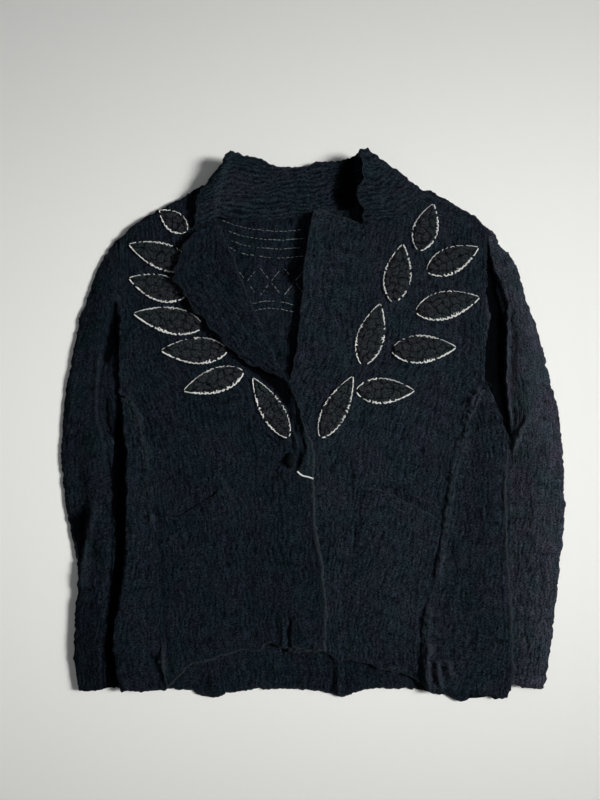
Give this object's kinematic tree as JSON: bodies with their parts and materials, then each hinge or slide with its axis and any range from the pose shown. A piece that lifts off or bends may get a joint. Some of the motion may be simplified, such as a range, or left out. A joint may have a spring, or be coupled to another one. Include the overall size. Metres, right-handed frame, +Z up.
{
  "type": "blazer",
  "caption": "Cropped open-front blazer laid flat, with stand collar, one lapel turned back, patch pockets and leaf applique.",
  "frame": {"origin": "centre of the garment's box on the surface that it lies on", "axes": "+X across the garment to the wearer's left, +Y along the length towards the collar, +Z up from the surface"},
  "size_m": [0.6268, 0.685, 0.0289],
  "materials": {
    "crinkled_cotton": "matt navy-black crinkled cotton",
    "applique_cloth": "matt crackled dark cloth with a white overcast edge",
    "white_thread": "matt thick white thread"
  },
  "bodies": {
    "root": {"back": "crinkled_cotton", "right_front": "crinkled_cotton", "left_front": "crinkled_cotton", "right_side": "crinkled_cotton", "left_side": "crinkled_cotton", "right_sleeve": "crinkled_cotton", "left_sleeve": "crinkled_cotton", "collar": "crinkled_cotton", "right_lapel": "crinkled_cotton", "right_pocket": "crinkled_cotton", "left_pocket": "crinkled_cotton", "right_leaf_1": "applique_cloth", "right_leaf_2": "applique_cloth", "right_leaf_3": "applique_cloth", "right_leaf_4": "applique_cloth", "right_leaf_5": "applique_cloth", "right_leaf_6": "applique_cloth", "right_leaf_7": "applique_cloth", "left_leaf_1": "applique_cloth", "left_leaf_2": "applique_cloth", "left_leaf_3": "applique_cloth", "left_leaf_4": "applique_cloth", "left_leaf_5": "applique_cloth", "left_leaf_6": "applique_cloth", "left_leaf_7": "applique_cloth", "left_leaf_8": "applique_cloth", "button": "crinkled_cotton", "loop_thread": "white_thread"}
  },
  "joints": []
}
